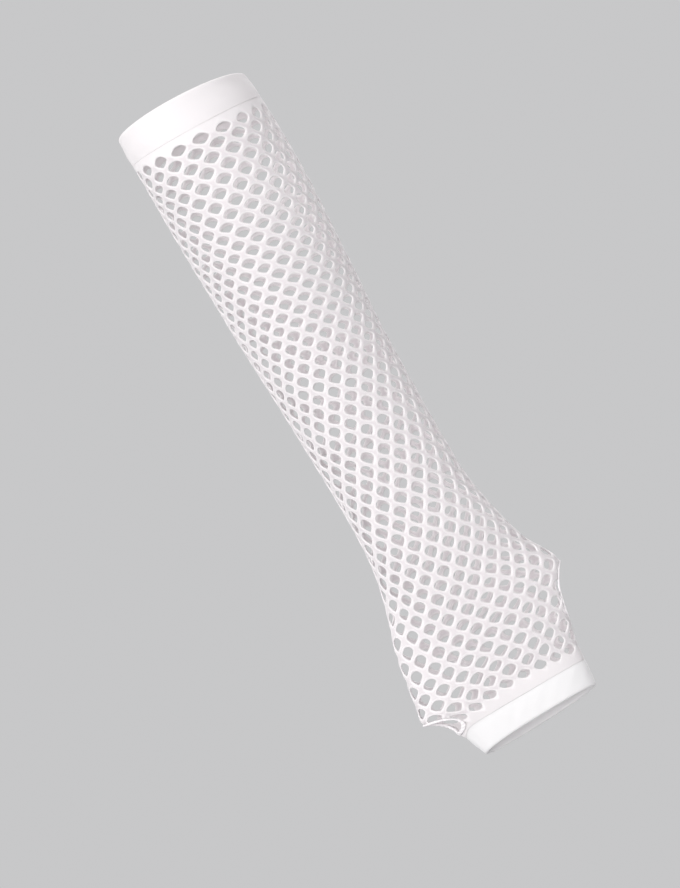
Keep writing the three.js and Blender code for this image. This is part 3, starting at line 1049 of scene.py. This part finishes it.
@dataclass
class NetSleeve(Piece):
    """The knitted net: staggered rows of holes between two plain strips, with the two hand holes cut out.

    The net is worked out on a flat lattice, in columns round the glove and half-rows down it. Each hole has a
    diamond cell, and its yarn lies in rings from the hole's edge to the cell's sides.

    Attributes:
        hand_holes: The holes for the thumb and the little finger.
        columns: Holes round the glove.
        rows: Half-rows of holes.
        steps: Steps along a cell's side.
        row_parts: Numbered heights in a half-row.
        tolerance: How far past a row a point has to lie to count as past it, in half-rows.
        upper_power: How pointed a hole's half toward the elbow is, 1 for round and 2 for a triangle.
        lower_power: How pointed its half toward the fingers is.
        unevenness: The share by which a hole's measures differ from its neighbours', each way.
        seed: What the differences are drawn from.
        column_ripple: The small waves of the columns, in columns.
        row_ripple: The small waves of the rows, in millimetres.
        calm_rows: How many half-rows from the elbow band it takes the rows to droop in full.
        rim_width: How far the raised stitches stand from the hole's edge.
        rim_shares: The least and the most of the way to the cell's side that this may be.
        hollow_depth: How far the outer side falls between two rims.
        plain_depth: How far the plain knit lies under the rims.
        inner_share: How deep the inner side's hollows are, as a share of the outer side's.
        end_lift: The lift of the net's ends at the bands.
        stitches: Stitches round a hole.
        bound_stitches: Stitches round a hand hole.
        elbow_shares: Where the plain strip's rings lie between the first cells and the elbow band.
        finger_shares: Where they lie between the last cells and the finger band.
    """

    slot: ClassVar[str] = "net_yarn"
    hand_holes: tuple[HandHole, ...]
    columns: int = 18
    rows: int = 56
    steps: int = 4
    row_parts: int = 100
    tolerance: float = 0.01
    upper_power: float = 1.1
    lower_power: float = 1.55
    unevenness: float = 0.035
    seed: int = 11
    column_ripple: Ripple = Ripple(0.018, 5, 1.7)
    row_ripple: Ripple = Ripple(0.16, 7, 2.3)
    calm_rows: float = 2.5
    rim_width: float = 0.42
    rim_shares: tuple[float, float] = (0.15, 0.5)
    hollow_depth: float = 0.2
    plain_depth: float = 0.04
    inner_share: float = 0.6
    end_lift: float = -0.15
    stitches: int = 24
    bound_stitches: int = 76
    elbow_shares: tuple[float, ...] = (0.0, 0.7, 1.0)
    finger_shares: tuple[float, ...] = (0.0, 0.3, 0.6, 0.88, 0.98, 1.0)

    @property
    def around(self) -> int:
        """Gives the number of points round a cell."""
        return 4 * self.steps

    @property
    def places(self) -> int:
        """Gives the number of places round the glove that a lattice point may have."""
        return 2 * self.steps * self.columns

    def place(self, column: Floats, row: Floats) -> tuple[Floats, Floats]:
        """Takes a point of the lattice to its turn and height.

        Formula: the row gives its height from the table of rows. The column, wound by the table of winding,
        gives the share of the way round. It then moves by the table of spread times the share's sine, and
        back by the table of edges times that sine to the fifth power. The height moves by the table of edges
        times the sine's size to the third power, and times four times its square times the cosine's square.
        Before row -1 the point goes on evenly to the elbow band, and past the last row to the finger band.

        Args:
            column: The column, whole at the middle of an even row's hole.
            row: The half-row, from -2 at the elbow band to one past rows at the finger band.

        Returns:
            The turn and the height.
        """
        flat = np.clip(row, -1, self.rows)
        middle = HOLE_ROWS.at(flat)
        free = np.clip(np.minimum(flat + 1, self.rows - flat), 0, 1)
        uneven_column, uneven_down = (
            free * ripple.at(column / self.columns, flat) for ripple in (self.column_ripple, self.row_ripple)
        )
        share = (column + uneven_column + WINDING.at(middle)) / self.columns
        side = np.sin(WHOLE_TURN * share)
        edges = EDGES.at(middle)
        edge = np.where((side < 0)[..., None], edges[..., 0::2], edges[..., 1::2])
        drawn, droop, halfway_droop = np.moveaxis(edge, -1, 0)
        turn = share + SPREAD.at(middle) * side / WHOLE_TURN - drawn * side**5 / self.columns
        calm = np.clip((flat + 1) / self.calm_rows, 0, 1)
        fallen = calm * (droop * np.abs(side) ** 3 + halfway_droop * 4 * side**2 * (1 - side**2))
        down = self.form.row_down(turn, middle) + uneven_down + fallen
        start = self.form.joint_down(End.ELBOW, turn) + JOINT_GAP / 2
        end = self.form.joint_down(End.FINGERS, turn) - JOINT_GAP / 2
        before, past = np.clip(-1 - row, 0, 1), np.clip(row - self.rows, 0, 1)
        return turn, down + before * (start - down) + past * (end - down)

    def _hole_edges(self, row: Floats) -> Floats:
        """Gives every hole's edge from the middle of its cell.

        Formula: it is half the hole's width times sin(angle), and its reach that way times cos(angle), both
        to upper_power toward the elbow and to lower_power toward the fingers, and in the last row the other
        way round. Each hole's measures differ a little by chance.

        Args:
            row: Each hole's half-row.

        Returns:
            Columns and half-rows, by hole, point and direction.
        """
        chance = np.random.default_rng(self.seed).uniform(-self.unevenness, self.unevenness, (len(row), 3))
        width, height, widest = (HOLE_SHARES.at(HOLE_ROWS.at(row)) * (1 + chance)).T[..., None]
        angle = WHOLE_TURN * np.arange(self.around) / self.around
        upward = np.sign(np.cos(angle))
        is_round = (upward > 0) ^ (row[:, None] == self.rows - 1)
        power = np.where(is_round, self.upper_power, self.lower_power)
        across = width / 2 * np.sign(np.sin(angle)) * np.abs(np.sin(angle)) ** power
        along = widest + (height * upward - widest) * np.abs(np.cos(angle)) ** power
        return np.stack([across, -along], axis=-1)

    def _cell_rings(self) -> tuple[Floats, Floats, Floats]:
        """Gives the rings of every cell on the lattice.

        Formula: the inner ring is the hole's edge and the outer one the cell's diamond. The rim's ring lies
        on the straight way from one to the other, rim_width from the edge.

        Returns:
            Columns and rows, each by cell, ring and step, and the distance of each from the hole's edge.
        """
        row = np.repeat(np.arange(self.rows), self.columns).astype(float)
        column = np.tile(np.arange(self.columns), self.rows) + (row % 2) / 2
        tips = np.array([[0, -1], [0.5, 0], [0, 1], [-0.5, 0], [0, -1]])
        side = np.arange(self.around) / self.steps
        diamond = np.stack([np.interp(side, np.arange(len(tips)), tip) for tip in tips.T], axis=-1)
        hole = self._hole_edges(row)
        pitch = self.form.girth(HOLE_ROWS.at(row)) / self.columns
        rise = HOLE_ROWS.at(row + 0.5) - HOLE_ROWS.at(row - 0.5)
        way = diamond - hole
        distance = np.hypot(way[..., 0] * pitch[:, None], way[..., 1] * rise[:, None])
        share = np.clip(self.rim_width / distance, *self.rim_shares)
        rim = hole + way * share[..., None]
        rings = np.stack([hole, rim, np.broadcast_to(diamond, hole.shape)], axis=1)
        away = np.stack([np.zeros_like(distance), distance * share, distance], axis=1)
        return rings[..., 0] + column[:, None, None], rings[..., 1] + row[:, None, None], away

    @staticmethod
    def _plain_faces(lines: Ints, toward: int) -> Ints:
        """Gives the four-cornered faces between lines of numbered points, turned the way that toward says."""
        corners = [0, 3, 2, 1][::toward]
        return grid_corners(lines).reshape(-1, 4)[:, corners]

    def _notches(self) -> tuple[list[Ints], list[Ints]]:
        """Gives the plain triangles between the end rows' cells and the bands, as lattice keys.

        Formula: each triangle is as wide as a column on the band's side, and narrows by two steps a line to
        its tip between two cells.

        Returns:
            Four-cornered and three-cornered faces, whose corners are numbers from key().
        """
        quads, triangles = [], []
        wide = 2 * self.steps
        column = np.arange(self.columns)[:, None]
        for base, inward, shift in ((-1.0, 1, 0.0), (float(self.rows), -1, 0.5)):
            lines = []
            for inset in range(self.steps + 1):
                across = np.arange(inset, wide - inset + 1) / wide
                lines.append(self.key(column + shift + across, base + inward * inset / self.steps))
            for far, near in zip(lines, lines[1:]):
                quads.append(self._plain_faces(np.stack([far[:, 1:-1], near], axis=1), inward))
                for corners in ((far[:, 0], near[:, 0], far[:, 1]), (far[:, -2], near[:, -1], far[:, -1])):
                    triangles.append(np.stack(corners, axis=-1)[:, ::inward])
        return quads, triangles

    def _strip(self, base: float, outward: int, shares: tuple[float, ...]) -> Ints:
        """Gives the faces of a plain strip between the end cells and a band, as lattice keys.

        Args:
            base: The row that it starts from.
            outward: 1 toward the fingers, -1 toward the elbow.
            shares: Where its rings lie.

        Returns:
            Four-cornered faces, whose corners are numbers from key().
        """
        column = np.arange(self.places) / (2 * self.steps)
        row = base + outward * np.array(shares)
        return self._plain_faces(closed(self.key(*np.meshgrid(column, row))), outward)

    def key(self, column: Floats, row: Floats | float) -> Ints:
        """Numbers a lattice point, so that a point reached from two cells has one number.

        Args:
            column: The point's column.
            row: Its half-row.

        Returns:
            Its number, which counts places round the glove and then parts of a half-row.
        """
        place = np.round(column * 2 * self.steps).astype(int) % self.places
        return place + self.places * np.round((np.asarray(row) + 1) * self.row_parts).astype(int)

    def unkey(self, key: Ints) -> tuple[Floats, Floats]:
        """Gives the column and the half-row of a numbered lattice point."""
        return (key % self.places) / (2 * self.steps), key // self.places / self.row_parts - 1

    def flat(self) -> FlatNet:
        """Works out the net on its lattice.

        Formula: the two inner rings of a cell are its own points. Its outer ring and the plain faces share
        theirs with their neighbours, by the points' numbers.

        Returns:
            The net as one flat layer.
        """
        column, row, away = self._cell_rings()
        quads, triangles = self._notches()
        quads.append(self._strip(-1.0, -1, self.elbow_shares))
        quads.append(self._strip(float(self.rows), 1, self.finger_shares))
        groups = (self.key(column[:, 2], row[:, 2]), np.vstack(quads), np.vstack(triangles))
        keys = np.unique(np.concatenate([group.ravel() for group in groups]))
        own = np.arange(column[:, :2].size).reshape(column[:, :2].shape)
        sides, *plain = (own.size + np.searchsorted(keys, group) for group in groups)
        beside_plain = (row[:, 2] < -self.tolerance) | (row[:, 2] > self.rows - 1 + self.tolerance)
        away[:, 2] = np.where(beside_plain, self.rim_width, away[:, 2])
        u = np.broadcast_to(np.arange(self.around + 1) * self.stitches / self.around, closed(away).shape)
        side_column, side_row = self.unkey(keys)
        all_rows = np.concatenate([row[:, :2].ravel(), side_row])
        is_between = (side_row >= 0) & (side_row <= self.rows - 1)
        side_hollow = np.where(is_between, self.hollow_depth, self.plain_depth)
        return FlatNet(
            column=np.concatenate([column[:, :2].ravel(), side_column]),
            row=all_rows,
            cells=grid_corners(closed(np.concatenate([own, sides[:, None]], axis=1))).reshape(-1, 4),
            cell_uv=np.stack([grid_corners(u), grid_corners(closed(away))], axis=-1).reshape(-1, 4, 2),
            plain=plain,
            at_hole=np.isin(np.arange(len(all_rows)), own[:, 0]),
            at_band=(all_rows <= -2) | (all_rows >= self.rows + 1),
            hollow=np.concatenate([np.zeros(own.size), side_hollow]),
        )

    def cloth(self) -> Cloth:
        """Works out the net as one closed surface.

        Formula: one layer of places is lifted to the outer side and, turned over, to the inner side. The two
        meet at every free edge, which is a hole's edge, a hand hole's edge or the end at a band.

        Returns:
            The net, with its cells in the first material and its plain strips in the second.
        """
        flat = self.flat()
        groups = [flat.cells, *flat.plain]
        turn, down = self.place(flat.column, flat.row)
        in_hole = np.zeros(len(turn), dtype=bool)
        for hole in self.hand_holes:
            turn, down, moved = hole.push_out(self.form, turn, down)
            in_hole |= moved
            beside = moved[flat.cells].any(axis=1)
            corners = flat.cells[beside]
            flat.cell_uv[beside] = self._bound_uv(hole, turn[corners], down[corners])
        is_edge = flat.at_hole | flat.at_band | in_hole
        while len(pinched := self._pinched(groups, is_edge, in_hole)):
            is_edge[pinched] = False

        edge_lift = np.where(flat.at_band & ~in_hole, self.end_lift, -NET_THICKNESS / 2)
        outer_lift = np.where(is_edge, edge_lift, -flat.hollow)
        inner_lift = np.where(is_edge, edge_lift, flat.hollow * self.inner_share - NET_THICKNESS)
        sides = [self.form.lifted(turn, down, lift) for lift in (outer_lift, inner_lift)]
        number = np.arange(len(turn))
        inner_number = np.where(is_edge, number, len(turn) + number)
        group_uvs = [flat.cell_uv, *(self._plain_uv(turn, down, group) for group in flat.plain)]
        faces, uvs, slots = [], [], []
        for group, group_uv, slot in zip(groups, group_uvs, (0, 1, 1)):
            for kept, uv in self._trim(group, group_uv, is_edge):
                faces += [kept, inner_number[kept][:, ::-1]]
                uvs += [uv, uv[:, ::-1]]
                slots += [slot, slot]
        return Cloth(np.vstack(sides) * MM, faces, uvs, slots).without_spares()

    @staticmethod
    def _pinched(groups: list[Ints], is_edge: Flags, in_hole: Flags) -> Ints:
        """Gives the points beside a hand hole where the net's two layers would pinch.

        Formula: they are the ends of each side that joins two points of a free edge and has a kept face on
        either hand.

        Args:
            groups: The lattice's faces, in groups with equal numbers of corners.
            is_edge: Which points lie on a free edge.
            in_hole: Which points lie on a hand hole's edge.

        Returns:
            The numbers of the points.
        """
        sides = []
        for group in groups:
            kept = group[~is_edge[group].all(axis=1)]
            sides.append(np.stack([kept, np.roll(kept, -1, axis=1)], axis=-1).reshape(-1, 2))
        found, count = np.unique(np.sort(np.vstack(sides), axis=1), axis=0, return_counts=True)
        ends = np.unique(found[(count > 1) & is_edge[found].all(axis=1)])
        return ends[in_hole[ends]]

    @staticmethod
    def _trim(faces: Ints, uv: Floats, is_edge: Flags) -> list[tuple[Ints, Floats]]:
        """Leaves out what would have no thickness between the net's two layers.

        Formula: a face whose corners all lie on a free edge is left out. One of four corners, three of them
        on a free edge, becomes the triangle without the middle one of the three.

        Args:
            faces: Faces with equal numbers of corners.
            uv: The coordinates at their corners.
            is_edge: Which points lie on a free edge.

        Returns:
            Groups of faces, each with its coordinates.
        """
        kept = ~is_edge[faces].all(axis=1)
        faces, uv = faces[kept], uv[kept]
        if faces.shape[1] == 3:
            return [(faces, uv)]
        thin = is_edge[faces].sum(axis=1) == 3
        corners = (np.argmin(is_edge[faces[thin]], axis=1)[:, None] + np.array([0, 1, 3])) % 4
        cut = np.take_along_axis(faces[thin], corners, axis=1)
        cut_uv = np.take_along_axis(uv[thin], corners[..., None], axis=1)
        return [(faces[~thin], uv[~thin]), (cut, cut_uv)]

    @staticmethod
    def _whole(share: Floats) -> Floats:
        """Keeps a face's shares of a way round together where the way begins again at its corners."""
        return share[:, :1] + (share - share[:, :1] + 0.5) % 1 - 0.5

    def _plain_uv(self, turn: Floats, down: Floats, faces: Ints) -> Floats:
        """Gives plain knit's coordinates at the corners of faces, in upright rows and in stitches."""
        return np.stack([self._whole(turn[faces]) * KNIT_WALES, down[faces] / KNIT_COURSE], axis=-1)

    def _bound_uv(self, hole: HandHole, turn: Floats, down: Floats) -> Floats:
        """Gives the net's coordinates at the corners of faces beside a hand hole.

        Formula: u is the share of the way round the hole's middle times bound_stitches, and v is 0, as at a
        hole's edge.

        Args:
            hole: The hand hole.
            turn: The corners' turns, by face and corner.
            down: Their heights.

        Returns:
            u and v at each corner.
        """
        x, y = hole.plan(self.form, turn, down)
        share = self._whole(np.arctan2(y, x) / WHOLE_TURN)
        return np.stack([share * self.bound_stitches, np.zeros_like(share)], axis=-1)


@dataclass
class FoldedBand(Piece):
    """A band of plain knit, folded over at its rim so that it is double.

    Attributes:
        end: The end of the net that it is on.
        thickness: The whole band's thickness.
        layer: The thickness of one layer.
        proud: How far it stands out from the net.
        first_step: The first step up from the joint.
        up_steps: Points from there to the fold.
        bend_steps: Points round the fold, its two ends among them.
        drawn_in: How far the outer layer is drawn in at the joint.
        drawn_share: The height over which it comes out again, as a share of the band's.
        ripples: The band's small waves, in millimetres.
        around: Steps round the band.
    """

    slot: ClassVar[str] = "band_knit"
    end: End
    thickness: float = 2.2
    layer: float = 0.95
    proud: float = 0.4
    first_step: float = 0.06
    up_steps: int = 14
    bend_steps: int = 9
    drawn_in: float = 0.4
    drawn_share: float = 0.2
    ripples: tuple[Ripple, ...] = (Ripple(0.08, 7, 3), Ripple(0.05, 17, 9))
    around: int = 288

    def _middle_line(self, height: float) -> Floats:
        """Gives the line that the cloth follows in the band's cross-section.

        Formula: straight up the outside, half a circle round the fold, and straight back down the inside.

        Args:
            height: The band's height from its joint to its rim.

        Returns:
            The distance from the joint and the lift, at each point of the line.
        """
        radius = (self.thickness - self.layer) / 2
        top = height - radius - self.layer / 2
        up = np.append(JOINT_GAP, np.linspace(JOINT_GAP + self.first_step, top, self.up_steps))
        bend = np.linspace(0, math.pi, self.bend_steps)[1:-1]
        along = np.concatenate([up, top + radius * np.sin(bend), up[::-1]])
        lift = np.concatenate([np.full(len(up), radius), radius * np.cos(bend), np.full(len(up), -radius)])
        return np.stack([along, lift - self.thickness / 2 + self.proud])

    def _profile(self, height: float) -> tuple[Floats, Floats, Floats]:
        """Gives the cloth's closed outline round its middle line.

        Formula: the middle line moved half a layer to one side, then back along the other side, with one
        round point at each end.

        Args:
            height: The band's height.

        Returns:
            The distance from the joint, the lift, and the distance along the cloth, at each point.
        """
        line = self._middle_line(height)
        half = self.layer / 2
        slope_along, slope_lift = np.gradient(line, axis=1)
        side = np.stack([-slope_lift, slope_along]) / np.hypot(slope_along, slope_lift) * half
        tip, first_tip = ([[line[0, 0] / 2], [line[1, k]]] for k in (-1, 0))
        along, lift = np.concatenate([line + side, tip, (line - side)[:, ::-1], first_tip], axis=1)
        run = np.concatenate([[0], np.cumsum(np.hypot(*np.diff(line, axis=1)))])
        return along, lift, np.concatenate([run, [run[-1] + half], run[::-1], [-half / 2]])

    def cloth(self) -> Cloth:
        """Works out the band: its outline carried round the glove.

        Formula: at each turn, the distance from the joint is scaled to the band's height there. The lift
        gains the ripples, and the outer layer is drawn in at the joint.

        Returns:
            The closed band.
        """
        turn = np.arange(self.around) / self.around
        joint = self.form.joint_down(self.end, turn) + self.end.value * JOINT_GAP / 2
        rim = self.form.rim_down(self.end, turn)
        height = float(np.abs(rim - joint).mean())
        along, lift, run = self._profile(height)
        share = along[:, None] / height
        down = joint + share * (rim - joint)
        wave = sum(ripple.at(turn, share) for ripple in self.ripples)
        drawn = -self.drawn_in * np.exp(-((share / self.drawn_share) ** 2)) * (lift > lift.mean())[:, None]
        points = self.form.lifted(np.broadcast_to(turn, down.shape), down, lift[:, None] + wave + drawn)
        return ring_cloth(points, KNIT_WALES, run / KNIT_COURSE, float(run[0]) / KNIT_COURSE)


@dataclass
class EdgeStrand(Piece):
    """The two-ply strand that binds a hand hole.

    Attributes:
        hole: The hole that it goes round.
        ply_turn: The length of one turn of the plies, in millimetres.
        mean_radius: The strand's mean radius, as a share of the hole's strand.
        swell: How much more or less it is where a ply is outermost or between two.
        sides: Points round the strand.
        steps: Points along it.
    """

    slot: ClassVar[str] = "edge_strand"
    hole: HandHole
    ply_turn: float = 2.4
    mean_radius: float = 0.94
    swell: float = 0.1
    sides: int = 14
    steps: int = 260

    def cloth(self) -> Cloth:
        """Works out the strand: a round section carried round the hole's edge.

        Formula: the radius swells where a ply is outermost, which is twice round the section and turns along
        the strand.

        Returns:
            The closed strand.
        """
        along = np.arange(self.steps) / self.steps
        x, y = self.hole.rim(WHOLE_TURN * along, np.zeros(self.steps))
        length = float(np.hypot(np.diff(x, append=x[:1]), np.diff(y, append=y[:1])).sum())
        turns = round(length / self.ply_turn)
        section = WHOLE_TURN * np.arange(self.sides)[:, None] / self.sides
        swell = self.swell * np.cos(2 * section - WHOLE_TURN * turns * along)
        radius = self.hole.strand * (self.mean_radius + swell)
        rim_x, rim_y = self.hole.rim(WHOLE_TURN * along + 0 * section, radius * np.cos(section))
        turn, down = self.hole.place(self.form, rim_x, rim_y)
        points = self.form.lifted(turn, down, radius * np.sin(section) - NET_THICKNESS / 2)
        return ring_cloth(points, turns, np.arange(self.sides) / self.sides, 1.0)


@dataclass(frozen=True)
class Lamp:
    """A soft square light that faces the glove.

    Attributes:
        name: Its name.
        place: Where it stands, in metres.
        size: Its side.
        power: Its power in watts.
    """

    name: str
    place: Place
    size: float
    power: float

    def build(self, look_at: Place) -> bpy.types.Object:
        """Makes the light.

        Args:
            look_at: The point that it faces.

        Returns:
            The light's object.
        """
        data = bpy.data.lights.new(self.name, "AREA")
        data.size = self.size
        data.energy = self.power
        made = new_object(self.name, data)
        made.location = self.place
        made.visible_camera = False
        made.rotation_euler = (Vector(look_at) - Vector(self.place)).to_track_quat("-Z", "Y").to_euler()
        return made


@dataclass
class Studio:
    """A plain pale floor, soft lights and the camera.

    Attributes:
        look_at: The point at the middle of the picture, in metres.
        distance: The camera's distance.
        picture_height: What the picture's long side covers at look_at.
        sensor: The camera's sensor along that side, in millimetres.
        sight: How far the camera sees.
        roll: The camera's roll in degrees.
        floor_level: The floor's height.
        floor_size: The floor's side.
        lamps: The lights.
        surroundings: The colour of the surroundings.
        surroundings_strength: Their strength.
    """

    look_at: Place = (-0.0156, 0.0, -0.1744)
    distance: float = 8.0
    picture_height: float = 0.4174
    sensor: float = 36
    sight: float = 60
    roll: float = 30.17
    floor_level: float = -0.9
    floor_size: float = 9.0
    lamps: tuple[Lamp, ...] = (
        Lamp("key_light", (-2.9, -4.8, 0.8), 3.2, 222),
        Lamp("fill_light", (3.8, -3.8, 0.0), 4.0, 64),
        Lamp("top_light", (-0.5, 0.5, 4.0), 4.0, 74),
        Lamp("back_light", (2.2, 4.5, 0.8), 3.8, 115),
    )
    surroundings: Colour = (0.80, 0.80, 0.81, 1)
    surroundings_strength: float = 0.72

    def camera(self) -> bpy.types.Object:
        """Makes the camera, which looks along +Y and is rolled so that the arm slants across the picture.

        Returns:
            The camera.
        """
        data = bpy.data.cameras.new("camera")
        data.sensor_width = self.sensor
        data.lens = data.sensor_width * self.distance / self.picture_height
        data.clip_end = self.sight
        made = new_object("camera", data)
        roll = math.radians(self.roll)
        right = Vector((math.cos(roll), 0, -math.sin(roll)))
        up = Vector((math.sin(roll), 0, math.cos(roll)))
        turned = Matrix((right, up, right.cross(up))).transposed().to_4x4()
        made.matrix_world = Matrix.Translation(Vector(self.look_at) + Vector((0, -self.distance, 0))) @ turned
        bpy.context.scene.camera = made
        return made

    def floor(self) -> bpy.types.Object:
        """Makes the floor, a flat square.

        Returns:
            The floor.
        """
        half = self.floor_size / 2
        mesh = bpy.data.meshes.new("floor")
        corners = [(-half, -half), (half, -half), (half, half), (-half, half)]
        mesh.from_pydata([(x, y, self.floor_level) for x, y in corners], [], [(0, 1, 2, 3)])
        mesh.materials.append(FloorFinish().material())
        made = new_object("floor", mesh)
        return made

    def build(self) -> None:
        """Makes the camera, the floor, the lights and the pale surroundings."""
        self.camera()
        self.floor()
        for lamp in self.lamps:
            lamp.build(self.look_at)
        world = bpy.data.worlds.new("studio")
        world.use_nodes = True
        background = world.node_tree.nodes["Background"]
        background.inputs["Color"].default_value = self.surroundings
        background.inputs["Strength"].default_value = self.surroundings_strength
        bpy.context.scene.world = world
        bpy.context.scene.view_settings.view_transform = "Standard"


def main() -> None:
    """Builds the studio and then the glove, piece by piece, and reports each piece."""
    logging.basicConfig(level=logging.INFO, format="%(name)s %(message)s")
    Studio().build()
    form = ArmForm()
    net_yarn, strand = NetFinish().material(), StrandFinish().material()
    knit = JerseyFinish("plain_knit", (0.95, 0.92, 0.926, 1), (0.64, 0.58, 0.60, 1)).material()
    # Painted light: the finger band's knit is a brighter copy of the plain knit, with lighter creases,
    # standing in for the stronger light on that band.
    painted_light_knit = JerseyFinish("painted_light_knit", (0.98, 0.975, 0.975, 1), (0.72, 0.68, 0.70, 1)).material()
    net = NetSleeve(form, "knitted_net", "net_sleeve", (THUMB_HOLE, LITTLE_FINGER_HOLE)).build(net_yarn, knit)
    elbow = FoldedBand(form, "elbow_band_knit", "elbow_band", End.ELBOW).build(knit)
    fingers = FoldedBand(form, "finger_band_knit", "finger_band", End.FINGERS).build(painted_light_knit)
    thumb_edge = EdgeStrand(form, "thumb_hole_strand", "thumb_hole_edge", THUMB_HOLE).build(strand)
    little_edge = EdgeStrand(
        form, "little_finger_hole_strand", "little_finger_hole_edge", LITTLE_FINGER_HOLE
    ).build(strand)
    for piece in (net, elbow, fingers, thumb_edge, little_edge):
        log.info("%s: %d faces", piece.name, len(piece.data.polygons))


if __name__ == "__main__":
    main()
